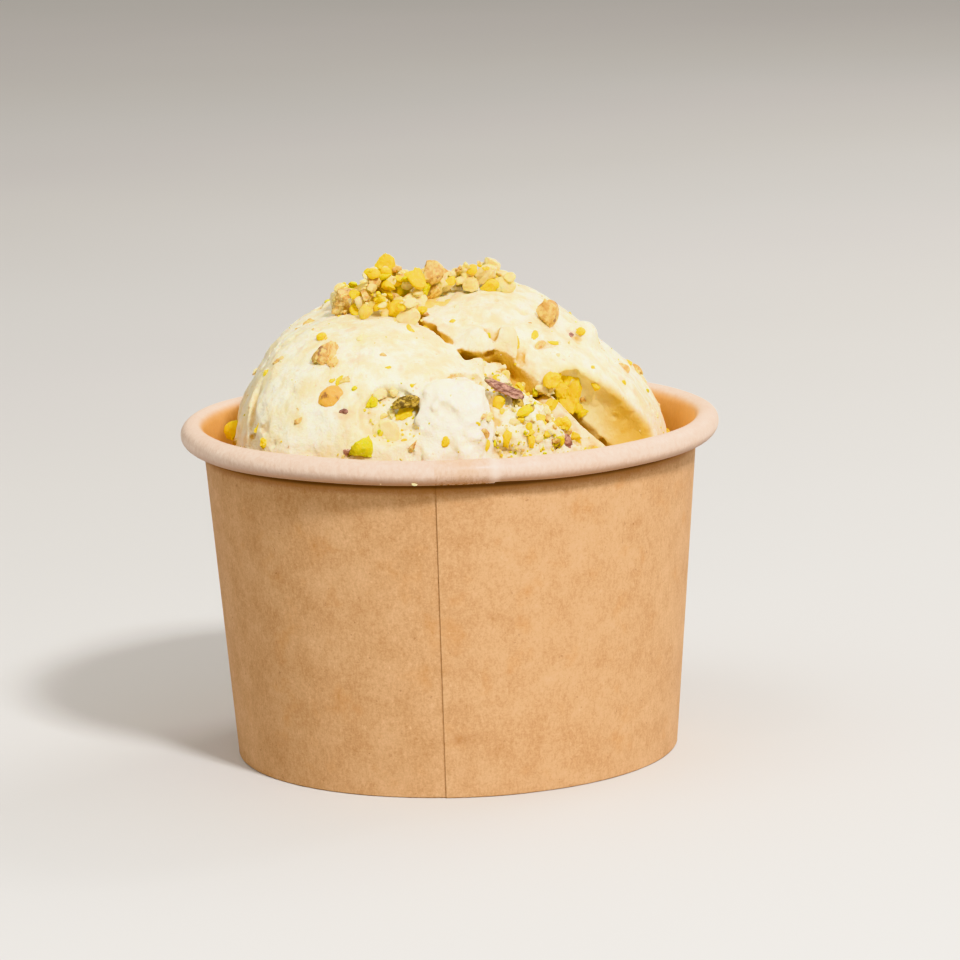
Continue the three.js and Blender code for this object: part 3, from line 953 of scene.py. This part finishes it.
# node: tone, number of cuts, growth in each direction, how far the piece stands out of the
# surface, how far its right end is tipped down, and its finish
single_nuts = {
    "nut_crown_peak": (0.47, 3, (1.25, 1.15, 1.1), -0.9, 8, nut_flesh),
    "nut_crown_left": (0.93, 4, (1.3, 1.2, 1.25), 0.0, 0, nut_flesh),
    "nut_gold": (0.46, 5, (1.35, 1.25, 1.55), 0.8, 0, nut_flesh),
    "nut_skin_slice": (0.9, 3, (1.15, 0.75, 0.50), 0.4, 27, skin_flesh),
    "nut_left_tan": (0.95, 4, (1.3, 1.1, 0.95), 0.0, -35, nut_flesh),
    "nut_left_orange": (1.0, 2, (1.6, 1.3, 1.35), -0.5, 0, nut_flesh),
    "nut_front_green": (0.62, 4, (1.15, 1.15, 1.1), 0.1, 0, nut_flesh),
    "nut_front_brown": (0.1, 4, (1.15, 1.0, 0.9), 0.2, -18, skin_flesh),
    "nut_right_slope": (0.92, 4, (1.1, 1.1, 1.1), 0.1, 20, nut_flesh),
    "nut_by_wall": (0.47, 2, (1.0, 1.0, 1.0), 0.2, 0, nut_flesh),
}
settled = {"nut_crown_left": np.array([-0.2, -3.4, -0.9]), "nut_skin_slice": np.array([-1.0, 0.3, 1.4])}
for node, (tone_value, cuts, growth, outset, tip, finish) in single_nuts.items():
    low, high = (np.array(corner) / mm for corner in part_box(node))
    points, kept = broken_nut(fine_ball[0], 1.0, cuts, 0.15)
    span = points.max(axis=0) - points.min(axis=0)
    points = (points - (points.max(axis=0) + points.min(axis=0)) / 2) / span * (high - low) * growth
    points = points @ np.array(Matrix.Rotation(math.radians(tip), 3, "Y")).T
    middle = (low + high) / 2
    outward = middle - np.array([0, -4, 52])
    middle = middle + outset * outward / np.linalg.norm(outward)
    middle = middle + settled.get(node, 0)
    piece = Batch()
    piece.add(points + middle, fine_ball[1], tone_value, kept)
    made = piece.build(node + "_piece", finish)
    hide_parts(node)

surface = BVHTree.FromPolygons([vertex.co[:] for vertex in gelato_mesh.vertices],
                               [face.vertices[:] for face in gelato_mesh.polygons])


def lodge(batch, ball, x, z, radii, tone, cuts, proud=0.3, degrees=0.0):
    """Presses a piece into the gelato at x, z on the side turned this far round from its front."""
    round_cup = Matrix.Rotation(math.radians(degrees), 3, "Z")
    start = round_cup @ Vector((x, -60, z)) * mm
    inward = round_cup @ Vector((0, 1, 0))
    place, facing, _, _ = surface.ray_cast(start, inward)
    if place is None:
        return
    points, kept = broken_nut(ball[0], radii, cuts + 1, 0.24)
    middle = np.array(place) / mm + np.array(facing) * radii[2] * (proud - 0.35)
    batch.add(turned(points, facing) + middle, ball[1], tone, kept)


# bits that show in the front of the gelato: x, z, three radii, tone, cuts and how proud they are
lodged = Batch()
for x, z, radii, tone_value, cuts, proud in [
    (-20.3, 72.6, (0.9, 0.8, 0.7), 0.42, 2, 0.6), (-18.4, 69.6, (1.5, 0.9, 0.8), 0.95, 3, 0.3),
    (-24.3, 61.1, (0.9, 0.6, 0.5), 0.98, 3, 0.2), (-16.4, 67.2, (1.2, 0.7, 0.6), 0.95, 3, 0.3),
    (-15.0, 66.2, (0.5, 0.4, 0.4), 0.60, 2, 0.5), (-11.2, 65.2, (1.5, 1.2, 1.1), 0.05, 3, 0.7),
    (-12.2, 63.6, (1.5, 0.9, 0.9), 0.58, 3, 0.6), (-8.6, 65.6, (1.0, 0.8, 0.8), 0.2, 3, 0.6),
    (-7.2, 61.8, (1.5, 1.2, 1.1), 0.44, 3, 0.7), (-9.3, 62.0, (0.8, 0.8, 0.7), 0.2, 3, 0.5),
    (-9.6, 58.6, (3.0, 2.3, 1.5), 0.0, 2, 0.1), (-5.9, 57.6, (0.5, 1.1, 0.5), 0.98, 3, 0.4),
    (-30.0, 57.0, (0.9, 0.7, 0.6), 0.45, 3, 0.4), (-27.6, 69.0, (1.2, 0.8, 0.4), 0.95, 2, 0.0),
    (-29.6, 67.0, (0.9, 0.6, 0.4), 0.40, 2, 0.1), (-0.8, 58.2, (0.9, 0.7, 0.6), 0.44, 2, 0.4),
    (8.2, 62.6, (1.5, 1.1, 1.0), 0.45, 3, 0.6), (9.4, 57.6, (1.6, 1.1, 1.0), 0.50, 3, 0.5),
    (13.0, 57.0, (1.3, 0.8, 0.8), 0.50, 3, 0.4), (5.6, 59.0, (0.7, 1.1, 0.6), 0.97, 3, 0.5),
    (12.4, 61.4, (1.7, 1.0, 0.8), 0.58, 3, 0.6), (14.0, 62.6, (0.8, 0.6, 0.5), 0.62, 3, 0.6),
    (14.6, 60.4, (1.0, 0.8, 0.7), 0.42, 3, 0.5), (17.0, 57.0, (0.6, 0.9, 0.5), 0.97, 3, 0.5),
    (6.2, 61.5, (0.9, 0.8, 0.7), 0.2, 3, 0.5), (10.6, 59.8, (1.0, 0.8, 0.7), 0.1, 3, 0.5),
    (16.8, 64.4, (1.9, 1.5, 1.3), 0.44, 3, 0.7), (18.6, 61.8, (2.0, 1.6, 1.4), 0.40, 3, 0.7),
    (18.2, 59.0, (1.4, 1.3, 1.1), 0.42, 3, 0.6), (20.4, 63.0, (1.0, 1.7, 0.9), 0.97, 3, 0.6),
    (22.0, 58.0, (1.2, 1.0, 0.9), 0.55, 3, 0.4), (22.2, 70.6, (0.8, 0.7, 0.7), 0.45, 2, 0.7),
    (7.6, 65.6, (1.4, 0.8, 0.6), 0.46, 3, 0.2), (11.6, 70.6, (1.3, 0.6, 0.4), 0.50, 3, 0.0),
    (14.4, 70.9, (1.5, 0.6, 0.4), 0.44, 3, 0.0), (17.4, 69.9, (1.2, 0.6, 0.4), 0.52, 3, 0.0),
    (5.3, 61.6, (0.6, 1.0, 0.5), 0.95, 3, 0.5), (5.8, 57.0, (0.6, 1.0, 0.5), 0.44, 3, 0.5),
]:
    lodge(lodged, plain_ball, x, z, radii, tone_value, cuts, proud)
for _ in range(22):
    x, z = chance.uniform(-30, 16), chance.uniform(50, 74)
    size = chance.uniform(0.3, 0.75)
    tone_value = float(chance.choice([0.1, 0.45, 0.95]))
    lodge(lodged, small_ball, x, z, size * np.array([1.6, 1.0, 0.8]), tone_value, 4, 0.0)
for _ in range(64):
    x, z, side = chance.uniform(-16, 16), chance.uniform(49, 75), chance.uniform(50, 310)
    size = chance.choice([0.4, 0.7, 1.1], p=[0.5, 0.35, 0.15])
    tone_value = float(chance.choice([0.1, 0.45, 0.6, 0.95], p=[0.25, 0.35, 0.1, 0.3]))
    lodge(lodged, small_ball, x, z, size * np.array([1.6, 1.1, 0.9]), tone_value, 3, 0.2, side)
for _ in range(26):
    x, z = chance.normal(18.2, 1.9), chance.normal(60.8, 1.9)
    size = chance.uniform(0.5, 1.15)
    tone_value = float(chance.choice([0.2, 0.44, 0.58, 0.96], p=[0.2, 0.5, 0.1, 0.2]))
    lodge(lodged, small_ball, x, z, size * np.array([1.3, 1.0, 0.9]), tone_value, 3, 0.5)
lodged.build("lodged_pistachio", nut_flesh)

skins = Batch()
for x, z, radii, tone_value in [
    (-16.8, 62.8, (0.9, 0.6, 0.3), 0.9), (8.6, 64.6, (2.0, 0.8, 0.5), 0.9),
    (11.0, 63.0, (2.1, 1.0, 0.6), 0.1), (13.0, 62.0, (1.4, 0.8, 0.5), 0.2),
    (19.0, 56.2, (2.0, 0.8, 0.5), 0.9), (17.2, 56.0, (0.7, 0.9, 0.5), 0.1),
    (20.7, 70.2, (1.0, 0.5, 0.3), 0.9), (-16.4, 56.8, (0.6, 0.9, 0.4), 0.9),
]:
    lodge(skins, plain_ball, x, z, radii, tone_value, 2, 0.5)
skins.build("lodged_pistachio_skin", skin_flesh)


# Chopped topping. Pistachios chopped coarse and dropped on the crown, where they lie in a loose
# heap, the large pieces mixed with grain and meal. A core of packed meal fills its middle.

def packed_meal(x, y, z):
    """The core of the heap: a long part, and a rounder one at its left end."""
    long_part = lobe(x, y, z, (-4, 1, 74.6), (15.5, 10, 5.4), 2) + 3.6
    return np.minimum(long_part, lobe(x, y, z, (-12, -1, 75.6), (7, 6.5, 6.2), 2) + 2.4)


core_step = 0.36
core_low = np.array([-21.0, -14.0, 68.0])
core_axes = [np.arange(low, high, core_step) for low, high in zip(core_low, (13.0, 12.0, 83.0))]
core_place = np.meshgrid(*core_axes, indexing="ij")
core_field = packed_meal(*core_place)
loose = 1.0 * (crumb_cells(*core_place, 1.5, 31) - 0.5)
core_field += loose + 0.35 * ripple(*core_place, 3.4, 32)
core_points, core_quads = largest_part(*skin(core_field))
core_mesh = bpy.data.meshes.new("pistachio_meal_core")
core_mesh.from_pydata(((core_points * core_step + core_low) * mm).tolist(), [], core_quads.tolist())
for name, value in (("tone", 0.3), ("skin", 0.0)):
    core_mesh.attributes.new(name, "FLOAT", "POINT").data.foreach_set("value", [value] * len(core_points))
core = new_object("pistachio_meal_core", core_mesh, nut_flesh)
core_mesh.polygons.foreach_set("use_smooth", [True] * len(core_mesh.polygons))
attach(core, "root")

# the top of what the next piece falls on, kept as heights over a grid
pile_step = 0.25
pile_axes = [np.arange(low, high, pile_step) for low, high in ((-24, 17), (-18, 15))]
pile_x, pile_y = np.meshgrid(*pile_axes, indexing="ij")
pile_foot = 60.0
pile_top = np.full(pile_x.shape, pile_foot)
for height in np.arange(pile_foot, 84, pile_step):
    level = np.full(pile_x.shape, height)
    solid = np.minimum(mound(pile_x, pile_y, level), packed_meal(pile_x, pile_y, height)) < 0
    pile_top[solid] = height
# where pieces placed one by one lie: x, y and the room they need
kept_clear = [(-16.2, -4.6, 2.2), (-7.8, -9.0, 1.5)]


def drop(batch, ball, x, y, radii, tone, cuts, sink, ceiling):
    """Lets a piece down onto the pile at x, y, and raises the pile's top by it."""
    reach = max(radii[0], radii[1])
    if any(math.hypot(x - kept_x, y - kept_y) < room + 0.6 * reach for kept_x, kept_y, room in kept_clear):
        return
    near = np.hypot(pile_x - x, pile_y - y) < reach * 0.75
    rest = np.percentile(pile_top[near], 60)
    centre = rest + radii[2] * (1 - sink)
    if centre + radii[2] > ceiling:
        return
    points, kept = broken_nut(ball[0], radii, cuts, 0.10)
    tilt = np.array([chance.normal(0, 0.35), chance.normal(0, 0.35), 1.0])
    points = turned(points, tilt) + np.array([x, y, centre])
    batch.add(points, ball[1], tone, kept)
    away = np.clip(1 - ((pile_x - x) ** 2 + (pile_y - y) ** 2) / reach ** 2, 0, None)
    pile_top[:] = np.maximum(pile_top, np.where(away > 0, centre + radii[2] * 0.9 * np.sqrt(away), 0))


def heap_spot(spread=1.0):
    """A random place on the heap, closer together toward its left end."""
    while True:
        x = chance.uniform(-18.2, 12.5)
        y = chance.uniform(-14, 11)
        on_long = ((x + 4) / (15.5 * spread)) ** 2 + ((y + 1) / (11.5 * spread)) ** 2
        on_left = ((x + 12) / (7 * spread)) ** 2 + ((y + 1) / (6.5 * spread)) ** 2
        on_heap = min(on_long, on_left) < 1 and (x < -3 or y > -3.0 + 0.2 * x)
        if on_heap and (x < -1 or chance.random() < 0.7):
            return x, y


def random_tone():
    """Pale cut flesh, yellow, green, dark green or toasted brown, in a fixed mix."""
    return float(chance.choice([0.06, 0.24, 0.44, 0.60, 0.95], p=[0.20, 0.30, 0.26, 0.04, 0.20]))


# the heap's outline seen from the front: how far across, and how high
outline_x = (-18, -13.5, -12.5, -8, -5.5, -2.5, 0.8, 3.6, 5.5, 7.5, 9.5, 13)
outline_z = (79.0, 79.2, 81.0, 81.8, 80.2, 82.2, 80.8, 82.0, 81.6, 82.9, 81.0, 78.5)


def ceiling_over(x, y):
    """The height that nothing in the heap passes, lower toward the back."""
    return np.interp(x, outline_x, outline_z) - 0.19 * y


chunks = Batch()
for _ in range(64):
    x, y = heap_spot(0.95)
    radii = chance.uniform(1.0, 2.2) * np.array([1.15, 0.95, 0.85])
    tone_value = random_tone()
    cuts = int(chance.integers(3, 6))
    drop(chunks, plain_ball, x, y, radii, tone_value, cuts, 0.45, ceiling_over(x, y))
# the large pieces that lie on top of the rest: x, y, three radii, tone and cuts
for x, y, radii, tone_value, cuts in [
    (-14.2, -6.6, (2.0, 1.7, 1.5), 0.30, 3),
    (-12.0, -7.6, (1.7, 1.3, 1.7), 0.97, 3), (-13.0, -11.6, (1.6, 1.3, 1.4), 0.34, 3),
    (-6.2, -12.0, (2.6, 1.8, 1.6), 0.16, 3), (-4.6, -6.2, (1.5, 1.3, 2.0), 0.44, 2),
    (-2.4, -3.4, (2.3, 1.9, 2.1), 0.92, 3), (-9.6, -2.2, (1.7, 1.5, 1.5), 0.28, 3),
    (4.2, -0.8, (1.7, 1.4, 1.4), 0.24, 3), (7.6, 0.4, (1.5, 1.4, 1.5), 0.38, 3),
]:
    drop(chunks, plain_ball, x, y, radii, tone_value, cuts + 1, 0.3, 84.0)

# one whole nut with its shell side split open toward the front
points, kept = broken_nut(plain_ball[0], 1.0, 1, 0.06)
opening = np.array([0.15, -0.93, 0.32])
toward = points @ opening / np.linalg.norm(points, axis=1)
points = points * (1 - 0.75 * soft_step(toward, 0.72, 0.93))[:, None] * (1.9, 1.7, 1.7)
split_x, split_y, _ = kept_clear[1]
rest = np.percentile(pile_top[np.hypot(pile_x - split_x, pile_y - split_y) < 1.3], 70)
chunks.add(points + np.array([split_x, split_y, rest + 1.1]), plain_ball[1], 0.46, kept)
chunks.build("pistachio_chunks", nut_flesh)

grains = Batch()
for _ in range(240):
    x, y = heap_spot(1.02)
    radii = chance.uniform(0.65, 1.35) * np.array([1.2, 1.0, 0.8])
    drop(grains, small_ball, x, y, radii, random_tone(), 4, 0.5, ceiling_over(x, y) + 0.2)
made = grains.build("pistachio_grains", nut_flesh)
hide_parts("pistachio_topping")

crumbs = Batch()
for _ in range(150):
    x, y = heap_spot(1.12)
    radii = chance.uniform(0.2, 0.45) * np.array([1.2, 1.0, 0.8])
    drop(crumbs, meal_ball, x, y, radii, random_tone(), 2, 0.3, ceiling_over(x, y) + 0.4)
crumbs.build("pistachio_crumbs", nut_flesh)


# Crumbs in the gelato. Chopped nut stirred through it shows wherever the surface is broken, and
# a dusting of meal clings to the rest. They lie half sunk in the surface.

crumb_shapes = bpy.data.collections.new("crumb_shapes")
for number in range(5):
    points, kept = broken_nut(meal_ball[0], (1.0, 0.8, 0.65), 2, 0.12)
    mesh = bpy.data.meshes.new("crumb_shape")
    mesh.from_pydata(points.tolist(), [], meal_ball[1].tolist())
    crumb_shapes.objects.link(bpy.data.objects.new("crumb_shape", mesh))

tree = bpy.data.node_groups.new("crumbs_on_a_surface", "GeometryNodeTree")
for name, kind in (("Surface", "Object"), ("Crumb Shapes", "Collection"),
                   ("Crumbs per Square Metre", "Float"), ("Torn Share", "Float"),
                   ("Smallest", "Float"), ("Largest", "Float"), ("Seed", "Int")):
    tree.interface.new_socket(name, in_out="INPUT", socket_type="NodeSocket" + kind)
tree.interface.new_socket("Geometry", in_out="OUTPUT", socket_type="NodeSocketGeometry")
bench = Bench(tree)
given = bench.node("NodeGroupInput")
surface = bench.node("GeometryNodeObjectInfo", {}, {"Object": given.output("Surface")}).output("Geometry")
torn = bench.node("GeometryNodeInputNamedAttribute", {"data_type": "FLOAT"}, {"Name": "torn"})
share = given.output("Torn Share")
density = given.output("Crumbs per Square Metre") * (1 - share + share * torn)
above = bench.along("Z", bench.node("GeometryNodeInputPosition")).smooth(50 * mm, 54 * mm)
dots = bench.node("GeometryNodeDistributePointsOnFaces", {"distribute_method": "RANDOM"},
                  {"Mesh": surface, "Density": density * above, "Seed": given.output("Seed")})
shapes = bench.node("GeometryNodeCollectionInfo", {}, {
    "Collection": given.output("Crumb Shapes"), "Separate Children": True, "Reset Children": True})
size = bench.node("FunctionNodeRandomValue", {"data_type": "FLOAT"},
                  {2: given.output("Smallest"), 3: given.output("Largest"), "Seed": 3}, 1)
full_turn = 6.28
spin = bench.node("FunctionNodeRandomValue", {"data_type": "FLOAT_VECTOR"},
                  {0: (0, 0, 0), 1: (full_turn, full_turn, full_turn), "Seed": 4})
placed = bench.node("GeometryNodeInstanceOnPoints", {}, {
    "Points": dots, "Instance": shapes, "Pick Instance": True, "Rotation": spin, "Scale": size})
tone = bench.node("FunctionNodeRandomValue", {"data_type": "FLOAT"}, {2: 0.0, 3: 0.86, "Seed": 5}, 1)
toned = bench.node("GeometryNodeStoreNamedAttribute", {"data_type": "FLOAT", "domain": "INSTANCE"},
                   {"Geometry": placed, "Name": "tone", "Value": tone})
real = bench.node("GeometryNodeRealizeInstances", {}, {"Geometry": toned})
dressed = bench.node("GeometryNodeSetMaterial", {}, {"Geometry": real, "Material": nut_flesh})
bench.node("NodeGroupOutput", {}, {"Geometry": dressed})


def scatter(name, values):
    """Crumbs over the gelato as a plain mesh, from the tree's inputs given by name."""
    made = new_object(name, bpy.data.meshes.new(name))
    modifier = made.modifiers.new("crumbs", "NODES")
    modifier.node_group = tree
    for item in tree.interface.items_tree:
        if item.in_out == "INPUT":
            modifier[item.identifier] = values[item.name]
    grown = made.evaluated_get(bpy.context.evaluated_depsgraph_get())
    made.data = bpy.data.meshes.new_from_object(grown)
    made.modifiers.remove(modifier)
    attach(made, "root")


for name, crowding, torn_share, smallest, largest, seed in (
    ("meal_in_torn_gelato", 900000.0, 1.0, 0.12, 0.42, 2),
    ("grains_in_torn_gelato", 120000.0, 1.0, 0.4, 1.05, 5),
    ("meal_on_smooth_gelato", 26000.0, 0.0, 0.08, 0.26, 3),
    ("grains_on_smooth_gelato", 2600.0, 0.0, 0.25, 0.65, 9),
):
    scatter(name, {
        "Surface": gelato, "Crumb Shapes": crumb_shapes, "Crumbs per Square Metre": crowding,
        "Torn Share": torn_share, "Smallest": smallest * mm, "Largest": largest * mm, "Seed": seed,
    })


# Stray crumbs. A few crumbs of nut and dry gelato caught under the rim when the cup was filled.

strays = Batch()
for degrees, height, size in [(-97.4, 53.0, 0.42), (-104.5, 52.95, 0.16)]:
    angle = math.radians(degrees)
    radius = curl_centre[0] + math.sqrt(curl_radius ** 2 - (curl_centre[1] - height) ** 2) + size * 0.3
    points, kept = broken_nut(small_ball[0], size * np.array([1.2, 0.9, 0.9]), 2, 0.2)
    points = points + np.array([radius * math.cos(angle), radius * math.sin(angle), height])
    strays.add(points, small_ball[1], 0.05, kept)
strays.build("stray_crumbs", nut_flesh)
